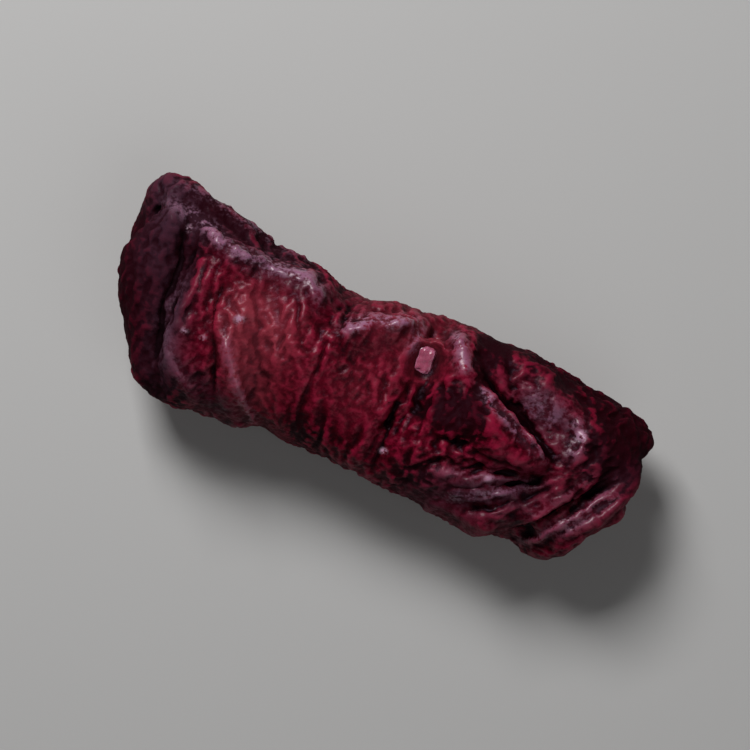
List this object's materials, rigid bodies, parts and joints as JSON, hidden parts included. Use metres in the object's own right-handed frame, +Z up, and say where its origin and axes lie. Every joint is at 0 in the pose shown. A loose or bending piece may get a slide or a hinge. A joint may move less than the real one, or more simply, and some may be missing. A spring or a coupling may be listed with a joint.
{
  "type": "dried cranberry",
  "caption": "Whole dried cranberry, shrunk to a leathery, crumpled roll with a pinched waist, deep folds and a grain of sugar held in the waist fold.",
  "frame": {"origin": "on the surface the berry lies on, below the middle of its bounding box", "axes": "+X along the berry's long axis from the blunt stem end to the calyx end, +Z up from the surface it lies on, +Y across the berry toward the side that is up in the picture"},
  "size_m": [0.018, 0.007, 0.0053],
  "materials": {
    "dried_cranberry": "waxy, dark crimson"
  },
  "bodies": {
    "root": {"dried_cranberry": "dried_cranberry"}
  },
  "joints": []
}
